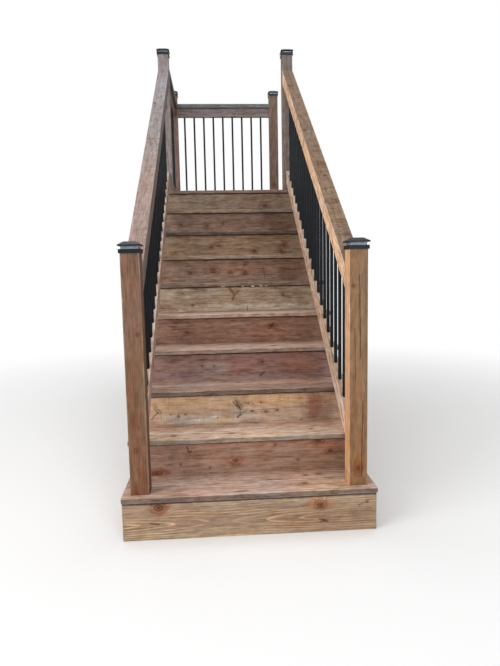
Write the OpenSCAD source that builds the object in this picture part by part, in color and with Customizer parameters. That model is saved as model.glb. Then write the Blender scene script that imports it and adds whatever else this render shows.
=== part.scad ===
// Wooden deck stairs: a straight closed flight of ten rises between two guards,
// climbing along +Y to a square landing that is open on its +X side.
// The origin is on the ground, in the middle of the whole. The modules draw each piece from the
// front edge of the bottom tread, and centred() then moves it into place.

/* [Flight] */
// Height of the bottom step over the ground
first_rise = 218; // [150:1:230]
// Height of every other step
rise = 193; // [150:1:205]
// Level distance from one tread's front edge to the next
run = 258; // [240:1:300]
// Clear width between the posts
clear_w = 960; // [760:1:1200]
// How far the treads reach past the posts at each side
tread_reach = 41; // [10:1:80]
// How far a tread overhangs the riser below it
nose = 24; // [12:1:35]

/* [Boards] */
// Thickness of a tread or landing board
board_t = 25; // [20:0.5:38]
// Gap between neighbouring boards
board_gap = 3; // [2:0.5:8]
// Radius of the eased long edges of a board
board_ease = 5; // [2:0.5:8]
// Thickness of a riser board
riser_t = 19; // [15:1:30]

/* [Framing] */
// Thickness of the framing lumber
lumber_t = 38; // [30:1:50]
// Depth of the planks that the stringers are cut from
stringer_d = 286; // [260:1:330]
// Depth of the header that carries the top of the stringers
header_d = 286; // [260:1:330]
// Depth of the landing's joists and rims
joist_d = 235; // [140:1:286]

/* [Landing] */
// Depth of the landing from its front edge to its back edge
landing_d = 1250; // [900:1:1800]

/* [Posts] */
// Width of a square post
post_w = 89; // [70:1:120]
// Radius of a post's eased corners
post_ease = 4; // [1:0.5:8]
// How far a newel post stands over the end of its stair rail
newel_over = 71; // [50:1:300]
// How far a landing post stands over the rails that end at it
landing_post_over = 83; // [40:1:300]
// Gap around a post where it passes through a board
notch_gap = 1; // [0.5:0.5:5]

/* [Rails] */
// Plumb height of the stair rails' top over the line of the nosings
rail_h = 966; // [850:1:1000]
// Width of a stair rail, square with its faces
rail_w = 89; // [60:1:89]
// Depth of a stair rail, square with its slope
rail_d = 89; // [60:1:100]
// Depth of the lower rails and of the landing's upper rails
small_rail_d = 89; // [70:1:110]
// Plumb gap between the nosings and the stairs' lower rails
low_rail_gap = 20; // [4:1:60]
// Radius of the eased edges of a rail
rail_ease = 4; // [1:0.5:8]
// Height of the landing guards above the landing
guard_h = 1042; // [950:1:1060]
// Gap between the landing and its lower rails
guard_gap = 50; // [20:1:100]
// How far the flat cap rail of a landing guard stays inside the posts' faces
cap_rail_inset = 0; // [0:1:20]

/* [Balusters] */
// Diameter of a round baluster
baluster_d = 19; // [12:0.5:25]
// Distance from one baluster's centre to the next
baluster_pitch = 100; // [80:1:125]
// Distance from a newel post to the centre of the first stair baluster
stair_first = 97; // [50:1:110]
// Distance from a post to the centre of the first landing baluster
guard_first = 70; // [50:1:110]
// Depth of the sockets that hold the ends of a baluster
socket_depth = 20; // [12:1:35]
// Radial clearance of a baluster in its socket
socket_gap = 0.25; // [0.1:0.05:1]

/* [Post cap lights] */
// How far the base of a cap light reaches past the post's faces
cap_reach = 6; // [4:0.5:25]
// Height of the base of a cap light
cap_base_h = 18; // [14:1:35]
// Thickness of the plate that rests on the post
cap_plate_t = 3; // [2:0.5:8]
// Clearance between a post and the skirt of its cap light
cap_gap = 0.5; // [0.3:0.1:2]
// Width of the clear window
lens_w = 80; // [40:1:86]
// Height of the clear window
lens_h = 14; // [8:1:30]
// Wall thickness of the clear window
lens_t = 3; // [2:0.5:6]
// How far the roof's rim reaches past the base
roof_reach = 2; // [0:0.5:20]
// Height of the roof's upright rim
roof_rim_h = 6; // [3:0.5:12]
// Height of the roof's slope above the rim
roof_slope_h = 15; // [8:1:30]
// Width of the flat square on top of the roof
roof_top_w = 54; // [20:1:80]

/* [Hidden] */
rises = 10;
joist_count = 3;
end_room = 50;
slope = atan(rise / run);
board_w = (run + nose - board_gap) / 2;
tread_w = clear_w + 2 * (post_w + tread_reach);
riser_w = clear_w + 2 * post_w;
framing_y = nose + riser_t;
landing_y = (rises - 1) * run;
landing_z = step_z(rises);
landing_end = landing_y + landing_d;
post_x = (clear_w + post_w) / 2;
newel_y = framing_y + post_w / 2;
front_post_y = landing_y + newel_y;
back_post_y = landing_end - lumber_t - post_w / 2;
skirt_depth = cap_base_h - cap_plate_t;
cap_base_w = post_w + 2 * cap_reach;
roof_w = cap_base_w + 2 * roof_reach;
cap_rail_w = post_w - 2 * cap_rail_inset;
stair_start = newel_y + post_w / 2;
stair_end = front_post_y - post_w / 2;
newel_top = nosing_z(stair_start) + rail_h + newel_over;
landing_post_top = max(landing_z + guard_h, nosing_z(stair_end) + rail_h) + landing_post_over;
rail_plumb = rail_d / cos(slope);
low_rail_plumb = small_rail_d / cos(slope);
low_rail_top = low_rail_gap + low_rail_plumb;
guard_rail_top = guard_h - lumber_t;
guard_rail_low = guard_rail_top - small_rail_d;
guard_low_top = guard_gap + small_rail_d;
side_start = front_post_y + post_w / 2;
side_end = back_post_y - post_w / 2;
landing_pitch = board_w + board_gap;
landing_rows = ceil(landing_d / landing_pitch);
$fn = 32;

// Moves a piece so that the origin is under the middle of the whole
module centred() {
  translate([0, -landing_end / 2, 0])
    children();
}

// Height of the top of a step
function step_z(step) = first_rise + (step - 1) * rise;

// Height of the line through the nosings at a distance y
function nosing_z(y) = first_rise + y * tan(slope);

// Height of the line through the outer corners of the sawtooth cuts
function tooth_z(y) = nosing_z(y - framing_y) - board_t;

// Distances of the balusters between two posts that stand from a to b
function baluster_places(a, b, first) = [
  for (i = [0 : floor((b - a - first - end_room) / baluster_pitch)]) a + first + i * baluster_pitch
];

stair_places = baluster_places(stair_start, stair_end, stair_first);
back_places = baluster_places(-clear_w / 2, clear_w / 2, guard_first);
side_places = baluster_places(side_start, side_end, guard_first);

// Rectangle around the origin with four rounded corners
module eased_rect(w, h, r) {
  square([w - 2 * r, h], center = true);
  square([w, h - 2 * r], center = true);
  for (x = [-1, 1], y = [-1, 1])
    translate([x * (w / 2 - r), y * (h / 2 - r)])
      circle(r = r);
}

// Bar along X, centred on x = 0, from y = 0 and z = 0
module bar_x(length, d, h, r) {
  rotate([90, 0, 90])
    linear_extrude(height = length, center = true)
      translate([d / 2, h / 2])
        eased_rect(d, h, r);
}

// Bar along Y from y = 0, centred on x = 0, from z = 0
module bar_y(length, w, h, r) {
  translate([0, length, 0])
    rotate([90, 0, 0])
      linear_extrude(height = length)
        translate([0, h / 2])
          eased_rect(w, h, r);
}

// Upright hole for a post at (x, y), through a board from z
module post_hole(x, y, z) {
  side = post_w + 2 * notch_gap;
  translate([x - side / 2, y - side / 2, z - 1])
    cube([side, side, board_t + 2]);
}

// Two boards side by side; the newel posts pass through the bottom tread
module tread(step) {
  z = step_z(step) - board_t;
  color("peru")
    difference() {
      for (row = [0, 1])
        translate([0, (step - 1) * run + row * landing_pitch, z])
          bar_x(tread_w, board_w, board_t, board_ease);
      if (step == 1)
        for (side = [-1, 1])
          post_hole(side * post_x, newel_y, z);
    }
}

// One riser stands behind each tread's back edge; the bottom one is as wide as the tread
module risers() {
  color("sienna")
    for (step = [1 : rises]) {
      low = step == 1 ? 0 : step_z(step - 1) - board_t;
      w = step == 1 ? tread_w : riser_w;
      translate([-w / 2, (step - 1) * run + nose, low])
        cube([w, riser_t, step_z(step) - board_t - low]);
    }
}

// Sawtooth stringer: level cuts carry the treads and plumb cuts back the risers
module stringer(x) {
  last = rises - 1;
  teeth = [
    for (step = [1 : last], corner = [0, 1])
      [framing_y + (step - 1 + corner) * run, step_z(step) - board_t]
  ];
  plumb_depth = stringer_d / cos(slope);
  top_y = framing_y + last * run;
  foot_y = framing_y + (plumb_depth - first_rise + board_t) / tan(slope);
  color("burlywood")
    translate([x - lumber_t / 2, 0, 0])
      rotate([90, 0, 90])
        linear_extrude(height = lumber_t)
          polygon(concat(
            [[framing_y, 0]],
            teeth,
            [[top_y, tooth_z(top_y) - plumb_depth], [foot_y, 0]]
          ));
}

// Square post with eased corners, from the ground to the plate of its cap light
module post(x, y, top) {
  color("tan")
    translate([x, y, 0])
      linear_extrude(height = top + skirt_depth)
        eased_rect(post_w, post_w, post_ease);
}

// Boards laid across the landing, cut around the four posts; the last row is ripped to fit
module landing_boards() {
  z = landing_z - board_t;
  color("peru")
    difference() {
      for (row = [0 : landing_rows - 1]) {
        start = row * landing_pitch;
        d = min(board_w, landing_d - start);
        translate([0, landing_y + start, z])
          bar_x(tread_w, d, board_t, board_ease);
      }
      for (side = [-1, 1], y = [front_post_y, back_post_y])
        post_hole(side * post_x, y, z);
    }
}

// Header between the front posts, which the stringers butt against
module landing_header() {
  color("burlywood")
    translate([-clear_w / 2, landing_y + framing_y, landing_z - board_t - header_d])
      cube([clear_w, lumber_t, header_d]);
}

// Joists from the header to the back rim
module landing_joists() {
  start = landing_y + framing_y + lumber_t;
  spacing = clear_w / (joist_count + 1);
  color("burlywood")
    for (i = [1 : joist_count])
      translate([-clear_w / 2 + i * spacing - lumber_t / 2, start, landing_z - board_t - joist_d])
        cube([lumber_t, landing_end - lumber_t - start, joist_d]);
}

// Side rim on the outer faces of the posts at one side
module landing_rim_side(side) {
  start = landing_y + framing_y;
  x = side * (post_x + (post_w + lumber_t) / 2);
  color("burlywood")
    translate([x - lumber_t / 2, start, landing_z - board_t - joist_d])
      cube([lumber_t, landing_end - lumber_t - start, joist_d]);
}

// Back rim across the ends of the side rims
module landing_rim_back() {
  w = riser_w + 2 * lumber_t;
  color("burlywood")
    translate([-w / 2, landing_end - lumber_t, landing_z - board_t - joist_d])
      cube([w, lumber_t, joist_d]);
}

// Bar on the slope of the stairs with plumb ends, its underside a plumb height over the nosings
module sloped_bar(over, w, d) {
  length = (stair_end + 2 * d) / cos(slope);
  intersection() {
    translate([0, 0, first_rise + over])
      rotate([slope, 0, 0])
        bar_y(length, w, d, rail_ease);
    translate([-w, stair_start, 0])
      cube([2 * w, stair_end - stair_start, 3 * landing_z]);
  }
}

// Upright round bar or hole from z = low to z = high
module upright(y, r, low, high) {
  translate([0, y, low])
    cylinder(r = r, h = high - low);
}

// Square stair rail, bored from below for the balusters
module stair_rail(side) {
  over = rail_h - rail_plumb;
  color("rosybrown")
    translate([side * post_x, 0, 0])
      difference() {
        sloped_bar(over, rail_w, rail_d);
        for (y = stair_places) {
          face = nosing_z(y) + over;
          upright(y, baluster_d / 2 + socket_gap, face - baluster_d, face + socket_depth);
        }
      }
}

// Lower stair rail on edge, bored from above for the balusters
module stair_low_rail(side) {
  color("burlywood")
    translate([side * post_x, 0, 0])
      difference() {
        sloped_bar(low_rail_gap, lumber_t, small_rail_d);
        for (y = stair_places) {
          face = nosing_z(y) + low_rail_top;
          upright(y, baluster_d / 2 + socket_gap, face - socket_depth, face + baluster_d);
        }
      }
}

// Round balusters that stand on the floors of the sockets in both rails
module stair_balusters(side) {
  color("black")
    translate([side * post_x, 0, 0])
      for (y = stair_places)
        upright(
          y,
          baluster_d / 2,
          nosing_z(y) + low_rail_top - socket_depth,
          nosing_z(y) + rail_h - rail_plumb + socket_depth
        );
}

// Turns a guard that is drawn along Y into its place on one edge of the landing
module on_edge(edge) {
  if (edge == "back")
    translate([0, back_post_y, landing_z])
      rotate([0, 0, -90])
        children();
  else
    translate([-post_x, 0, landing_z])
      children();
}

function edge_start(edge) = edge == "back" ? -clear_w / 2 : side_start;
function edge_length(edge) = edge == "back" ? clear_w : side_end - side_start;
function edge_places(edge) = edge == "back" ? back_places : side_places;

// Flat cap rail between two posts
module cap_rail(edge) {
  color("dimgray")
    on_edge(edge)
      translate([0, edge_start(edge), guard_rail_top])
        bar_y(edge_length(edge), cap_rail_w, lumber_t, rail_ease);
}

// Upper rail on edge under the cap rail, bored from below
module guard_rail(edge) {
  color("dimgray")
    on_edge(edge)
      difference() {
        translate([0, edge_start(edge), guard_rail_low])
          bar_y(edge_length(edge), lumber_t, small_rail_d, rail_ease);
        for (y = edge_places(edge))
          upright(y, baluster_d / 2 + socket_gap, guard_rail_low - 1, guard_rail_low + socket_depth);
      }
}

// Lower rail on edge, bored from above
module guard_low_rail(edge) {
  color("dimgray")
    on_edge(edge)
      difference() {
        translate([0, edge_start(edge), guard_gap])
          bar_y(edge_length(edge), lumber_t, small_rail_d, rail_ease);
        for (y = edge_places(edge))
          upright(y, baluster_d / 2 + socket_gap, guard_low_top - socket_depth, guard_low_top + 1);
      }
}

// Round balusters of one landing guard
module guard_balusters(edge) {
  color("black")
    on_edge(edge)
      for (y = edge_places(edge))
        upright(y, baluster_d / 2, guard_low_top - socket_depth, guard_rail_low + socket_depth);
}

// Puts one copy of a cap light's piece on top of every post
module on_posts() {
  for (side = [-1, 1]) {
    translate([side * post_x, newel_y, newel_top])
      children();
    for (y = [front_post_y, back_post_y])
      translate([side * post_x, y, landing_post_top])
        children();
  }
}

// Base of a cap light: a skirt around the post's end and a plate that rests on it
module cap_light_bases() {
  pocket_w = post_w + 2 * cap_gap;
  color("black")
    on_posts()
      difference() {
        linear_extrude(height = cap_base_h)
          eased_rect(cap_base_w, cap_base_w, post_ease);
        translate([-pocket_w / 2, -pocket_w / 2, -1])
          cube([pocket_w, pocket_w, skirt_depth + 1]);
      }
}

// Clear square window of a cap light, open at its top and bottom
module cap_light_windows() {
  color("lightgray")
    on_posts()
      translate([0, 0, cap_base_h])
        linear_extrude(height = lens_h)
          difference() {
            square([lens_w, lens_w], center = true);
            square([lens_w - 2 * lens_t, lens_w - 2 * lens_t], center = true);
          }
}

// Low hipped roof of a cap light, with an upright rim and a flat top
module cap_light_roofs() {
  color("black")
    on_posts()
      translate([0, 0, cap_base_h + lens_h])
        intersection() {
          roof_profile(0);
          roof_profile(90);
        }
}

// The roof's outline seen from one side, as a bar as long as the roof is wide
module roof_profile(turn) {
  top = roof_rim_h + roof_slope_h;
  rotate([0, 0, turn])
    rotate([90, 0, 0])
      linear_extrude(height = roof_w, center = true)
        polygon([
          [-roof_w / 2, 0],
          [roof_w / 2, 0],
          [roof_w / 2, roof_rim_h],
          [roof_top_w / 2, top],
          [-roof_top_w / 2, top],
          [-roof_w / 2, roof_rim_h]
        ]);
}

centred() tread(1);  // tread_1
centred() tread(2);  // tread_2
centred() tread(3);  // tread_3
centred() tread(4);  // tread_4
centred() tread(5);  // tread_5
centred() tread(6);  // tread_6
centred() tread(7);  // tread_7
centred() tread(8);  // tread_8
centred() tread(9);  // tread_9
centred() risers();
centred() stringer(-(clear_w - lumber_t) / 2);  // stringer_left
centred() stringer(0);  // stringer_middle
centred() stringer((clear_w - lumber_t) / 2);  // stringer_right
centred() post(-post_x, newel_y, newel_top);  // newel_left
centred() post(post_x, newel_y, newel_top);  // newel_right
centred() landing_boards();
centred() landing_header();
centred() landing_joists();
centred() landing_rim_side(-1);  // landing_rim_left
centred() landing_rim_side(1);  // landing_rim_right
centred() landing_rim_back();
centred() post(-post_x, front_post_y, landing_post_top);  // post_front_left
centred() post(post_x, front_post_y, landing_post_top);  // post_front_right
centred() post(-post_x, back_post_y, landing_post_top);  // post_back_left
centred() post(post_x, back_post_y, landing_post_top);  // post_back_right
centred() stair_rail(-1);  // stair_rail_left
centred() stair_rail(1);  // stair_rail_right
centred() stair_low_rail(-1);  // stair_low_rail_left
centred() stair_low_rail(1);  // stair_low_rail_right
centred() stair_balusters(-1);  // stair_balusters_left
centred() stair_balusters(1);  // stair_balusters_right
centred() cap_rail("back");  // back_cap_rail
centred() guard_rail("back");  // back_rail
centred() guard_low_rail("back");  // back_low_rail
centred() guard_balusters("back");  // back_balusters
centred() cap_rail("side");  // side_cap_rail
centred() guard_rail("side");  // side_rail
centred() guard_low_rail("side");  // side_low_rail
centred() guard_balusters("side");  // side_balusters
centred() cap_light_bases();
centred() cap_light_windows();
centred() cap_light_roofs();
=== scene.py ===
"""Looks for the wooden deck stairs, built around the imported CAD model."""

import math
import random

import bmesh
import bpy
from mathutils import Matrix, Vector


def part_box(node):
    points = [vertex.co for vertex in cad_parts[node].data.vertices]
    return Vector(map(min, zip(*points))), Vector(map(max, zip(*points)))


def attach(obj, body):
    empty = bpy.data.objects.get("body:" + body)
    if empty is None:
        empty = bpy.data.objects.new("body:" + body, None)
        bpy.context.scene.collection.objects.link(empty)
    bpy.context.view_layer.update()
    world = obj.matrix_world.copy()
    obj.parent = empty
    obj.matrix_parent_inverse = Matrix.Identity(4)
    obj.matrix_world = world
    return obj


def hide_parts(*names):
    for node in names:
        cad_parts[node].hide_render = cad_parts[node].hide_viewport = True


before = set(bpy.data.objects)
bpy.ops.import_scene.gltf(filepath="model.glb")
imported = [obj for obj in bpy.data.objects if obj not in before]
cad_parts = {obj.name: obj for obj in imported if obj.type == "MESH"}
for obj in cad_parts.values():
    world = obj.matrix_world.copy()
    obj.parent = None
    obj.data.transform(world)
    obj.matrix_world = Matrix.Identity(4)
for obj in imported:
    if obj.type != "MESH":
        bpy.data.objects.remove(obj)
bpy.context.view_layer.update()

# ---------------------------------------------------------------- sizes, in metres
STEPS = 10
POST = 0.089
NOSE = 0.024  # how far a tread reaches past the riser under it
BOARD_GAP = 0.003
RISER_T = 0.019
LOW_RAIL_T = 0.038
EASE = 0.005  # radius of a board's long edges
SOFT_END = 0.0012  # how far a board's ends are softened
END_PLAY = 0.002  # boards may end up to this much short of the CAD box
DIP_RAMP = 0.004  # length of the slope at each end of a dip in a riser's top edge
NOTCH_GAP = 0.001  # play round a post in the boards that it passes through
X = Vector((1, 0, 0))
Y = Vector((0, 1, 0))
Z = Vector((0, 0, 1))

TREAD_BOX = {k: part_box(f"tread_{k}") for k in range(1, STEPS)}
LANDING_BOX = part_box("landing_boards")
NEWEL_BOX = {side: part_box(f"newel_{side}") for side in ("left", "right")}
FRONT = TREAD_BOX[1][0].y
RUN = TREAD_BOX[2][0].y - FRONT
RISE = TREAD_BOX[3][1].z - TREAD_BOX[2][1].z
SLOPE = math.atan2(RISE, RUN)
BOARD_W = (TREAD_BOX[1][1].y - FRONT - BOARD_GAP) / 2
HALF_TREAD = TREAD_BOX[1][1].x
HALF_RISER = NEWEL_BOX["right"][1].x
UPHILL = Vector((0, math.cos(SLOPE), math.sin(SLOPE)))
SQUARE_UP = Vector((0, -math.sin(SLOPE), math.cos(SLOPE)))


# ---------------------------------------------------------------- colours
def srgb(r, g, b):
    """Linear colour of an 8-bit screen colour."""
    out = []
    for c in (r, g, b):
        c /= 255
        out.append(c / 12.92 if c <= 0.04045 else ((c + 0.055) / 1.055) ** 2.4)
    return (*out, 1.0)


# The colour of each kind of board, as 8-bit screen colours
TONES = {
    "tan": (177, 145, 118), "pinkish": (190, 156, 136), "peach": (210, 173, 140), "reddish": (153, 115, 96),
    "purplish": (142, 111, 102), "golden": (162, 124, 91), "olive": (148, 126, 105), "dark": (122, 98, 85),
    "ash": (162, 148, 144), "frame": (182, 152, 118),
}
KNOT_HEART = srgb(69, 42, 31)
KNOT_CORE = srgb(124, 80, 57)
CRACK = srgb(58, 40, 31)


def tone_set(name, bright, pale_lines):
    """Ground, ring line, dark streak, red patch and weather stain of a kind of board."""
    base = [c * bright for c in srgb(*TONES[name])[:3]]
    grey = sum(base) / 3

    def mixed(r, g, b, bleach=0.0):
        return (*(min(1.0, (c + (grey - c) * bleach) * k) for c, k in zip(base, (r, g, b))), 1.0)

    line = mixed(2.2, 2.2, 2.0) if pale_lines else mixed(0.66, 0.60, 0.55)
    return mixed(1.12, 1.13, 1.13), line, mixed(0.56, 0.48, 0.43), mixed(1.0, 0.72, 0.62), mixed(1.12, 1.16, 1.22, 0.45)


# ---------------------------------------------------------------- node tools
class Graph:
    """A material or node group, with short calls for the nodes used here."""

    def __init__(self, tree):
        self.tree = tree
        tree.nodes.clear()

    def node(self, kind, **props):
        n = self.tree.nodes.new(kind)
        for key, value in props.items():
            setattr(n, key, value)
        return n

    def put(self, socket, value):
        """Links the value's socket to this one, or sets a plain value."""
        if isinstance(value, bpy.types.NodeSocket):
            self.tree.links.new(value, socket)
        else:
            socket.default_value = value

    def call(self, kind, *values, out=0, **props):
        """A node whose first inputs are filled in order, as one of its outputs."""
        n = self.node(kind, **props)
        for socket, value in zip(n.inputs, values):
            self.put(socket, value)
        return n.outputs[out]

    def math(self, op, *values, clamp=False):
        return self.call("ShaderNodeMath", *values, operation=op, use_clamp=clamp)

    def vec(self, op, *values):
        out = "Value" if op in ("DOT_PRODUCT", "LENGTH") else "Vector"
        return self.call("ShaderNodeVectorMath", *values, out=out, operation=op)

    def fit(self, value, a, b, c=0.0, d=1.0, kind="SMOOTHSTEP"):
        """The value's range from a to b, mapped to c to d."""
        return self.call("ShaderNodeMapRange", value, a, b, c, d, interpolation_type=kind)

    def mix(self, factor, a, b, blend="MIX"):
        n = self.node("ShaderNodeMix", data_type="RGBA", blend_type=blend)
        self.put(n.inputs[0], factor)
        self.put(n.inputs[6], a)
        self.put(n.inputs[7], b)
        return n.outputs[2]

    def noise(self, vector, scale=1.0, detail=2.0, roughness=0.5, out="Fac"):
        n = self.node("ShaderNodeTexNoise")
        self.put(n.inputs["Vector"], vector)
        self.put(n.inputs["Scale"], scale)
        self.put(n.inputs["Detail"], detail)
        self.put(n.inputs["Roughness"], roughness)
        return n.outputs[out]

    def jitter(self, vector, scale=1.0, detail=2.0):
        """Noise in three directions, round zero."""
        return self.vec("SUBTRACT", self.noise(vector, scale, detail, out="Color"), (0.5, 0.5, 0.5))

    def stretch(self, vector, a, b, c):
        return self.vec("MULTIPLY", vector, (a, b, c))

    def scaled(self, vector, factor):
        n = self.node("ShaderNodeVectorMath", operation="SCALE")
        self.put(n.inputs[0], vector)
        self.put(n.inputs["Scale"], factor)
        return n.outputs[0]

    def pack(self, kind, parts):
        """Three values as one vector (kind XYZ) or one colour (kind Color)."""
        return self.call("ShaderNodeCombine" + kind, *parts)

    def unpack(self, kind, value):
        n = self.node("ShaderNodeSeparate" + kind)
        self.put(n.inputs[0], value)
        return n.outputs

    def bump(self, height, strength, distance):
        n = self.node("ShaderNodeBump")
        n.inputs["Strength"].default_value = strength
        n.inputs["Distance"].default_value = distance
        self.put(n.inputs["Height"], height)
        return n.outputs[0]

    def group(self, tree, **values):
        n = self.node("ShaderNodeGroup", node_tree=tree)
        for key, value in values.items():
            self.put(n.inputs[key], value)
        return n


def new_material(name):
    mat = bpy.data.materials.new(name)
    mat.use_nodes = True
    return mat, Graph(mat.node_tree)


def new_group(name, inputs, outputs):
    """A node group; its sockets are given by name as f (number), v (vector) or c (colour)."""
    tree = bpy.data.node_groups.new(name, "ShaderNodeTree")
    kinds = {"f": "NodeSocketFloat", "v": "NodeSocketVector", "c": "NodeSocketColor"}
    for direction, sockets in (("INPUT", inputs), ("OUTPUT", outputs)):
        for key, kind in sockets.items():
            tree.interface.new_socket(key, in_out=direction, socket_type=kinds[kind])
    g = Graph(tree)
    return g, g.node("NodeGroupInput").outputs, g.node("NodeGroupOutput").inputs


def make_knot_group():
    """How near a point is to a knot: its bulge, its halo, the pale rim, the core, its dark outline and the heart."""
    g, i, o = new_group(
        "knot", {"Point": "v", "Centre": "v", "Scale": "v"},
        {"Bulge": "f", "Halo": "f", "Rim": "f", "Core": "f", "Outline": "f", "Heart": "f"},
    )
    off = g.vec("MULTIPLY", g.vec("SUBTRACT", i["Point"], i["Centre"]), i["Scale"])
    d = g.vec("LENGTH", off)
    near = g.math("ADD", d, g.fit(g.noise(i["Point"], 110.0), 0.2, 0.8, -0.22, 0.22, "LINEAR"))
    far = g.math("ADD", d, g.fit(g.noise(i["Point"], 38.0, 3.0), 0.25, 0.75, -0.9, 0.9, "LINEAR"))
    g.put(o["Bulge"], g.math("EXPONENT", g.math("MULTIPLY", g.math("MULTIPLY", d, d), -0.2)))
    g.put(o["Halo"], g.fit(far, 1.5, 3.2, 1.0, 0.0))
    g.put(o["Rim"], g.math("MULTIPLY", g.fit(near, 1.05, 1.25), g.fit(near, 1.4, 1.75, 1.0, 0.0)))
    g.put(o["Core"], g.fit(near, 0.9, 1.15, 1.0, 0.0))
    g.put(o["Outline"], g.fit(g.math("ABSOLUTE", g.math("SUBTRACT", near, 1.0)), 0.05, 0.3, 1.0, 0.0))
    g.put(o["Heart"], g.fit(near, 0.15, 0.6, 1.0, 0.0))
    return g.tree


def make_split_group():
    """A mark that runs from A to B in the plane of the board's face, fading at its edge."""
    g, i, o = new_group("split", {"Point": "v", "A": "v", "B": "v", "Width": "f", "Force": "f"}, {"Mask": "f"})
    flat = g.stretch(i["Point"], 1, 1, 0)
    p = g.vec("ADD", flat, g.stretch(g.jitter(flat, 55.0, 3.0), 0.008, 0.008, 0))
    pa, ba = g.vec("SUBTRACT", p, i["A"]), g.vec("SUBTRACT", i["B"], i["A"])
    h = g.math("DIVIDE", g.vec("DOT_PRODUCT", pa, ba), g.vec("DOT_PRODUCT", ba, ba), clamp=True)
    d = g.vec("LENGTH", g.vec("SUBTRACT", pa, g.scaled(ba, h)))
    g.put(o["Mask"], g.math("MULTIPLY", g.fit(g.math("DIVIDE", d, i["Width"]), 0.3, 1.0, 1.0, 0.0), i["Force"]))
    return g.tree


def make_patch_group():
    """A soft, uneven patch of another colour."""
    g, i, o = new_group("patch", {"Point": "v", "Centre": "v", "Scale": "v", "Under": "c", "Tint": "c"}, {"Tint": "c"})
    off = g.vec("LENGTH", g.vec("MULTIPLY", g.vec("SUBTRACT", i["Point"], i["Centre"]), i["Scale"]))
    rough = g.noise(g.stretch(i["Point"], 9, 26, 26), 1.0, 4.0, 0.65)
    mask = g.fit(g.math("ADD", off, g.fit(rough, 0.25, 0.75, -0.5, 0.5, "LINEAR")), 0.5, 1.2, 1.0, 0.0)
    g.put(o["Tint"], g.mix(mask, i["Under"], g.mix(1.0, i["Under"], i["Tint"], "MULTIPLY")))
    return g.tree


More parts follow.
